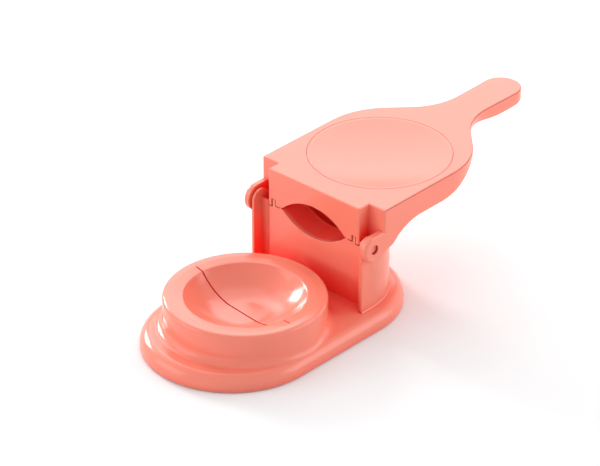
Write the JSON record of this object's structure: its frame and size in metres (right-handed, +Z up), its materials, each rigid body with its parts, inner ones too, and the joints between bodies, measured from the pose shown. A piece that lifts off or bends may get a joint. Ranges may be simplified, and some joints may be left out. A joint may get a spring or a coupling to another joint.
{
  "type": "hand dough press",
  "caption": "Hand press for puri and filled pastry: oval plinth with a round dish, a hollow tower and a hinged paddle lever that folds over onto the dish, in gloss coral plastic.",
  "frame": {"origin": "on the table, under the middle of the open press's length and width", "axes": "+X from the dish towards the open lever's handle, +Y along the hinge pins, +Z up"},
  "size_m": [0.315, 0.111, 0.0766],
  "materials": {
    "coral_plastic": "glossy moulded coral plastic",
    "coral_pin": "turned coral plastic pin",
    "screw_steel": "zinc-plated steel",
    "foot_rubber": "soft pale rubber"
  },
  "bodies": {
    "base": {"base_plinth": "coral_plastic", "dish_front_half": "coral_plastic", "dish_rear_half": "coral_plastic", "dish_screws": "screw_steel", "tower_shell": "coral_plastic", "tower_front_panel": "coral_plastic", "tower_screws": "screw_steel", "hinge_pin_left": "coral_pin", "hinge_pin_right": "coral_pin", "foot_front_left": "foot_rubber", "foot_front_right": "foot_rubber", "foot_rear_left": "foot_rubber", "foot_rear_right": "foot_rubber"},
    "lever": {"lever_body": "coral_plastic", "press_plate": "coral_plastic", "press_plate_screws": "screw_steel"}
  },
  "joints": [
    {"name": "lever_hinge", "type": "hinge", "parent": "base", "child": "lever", "pos_m": [-0.0305, 0, 0.0535], "axis": [0, -1, 0], "range_deg": [0, 180]}
  ]
}
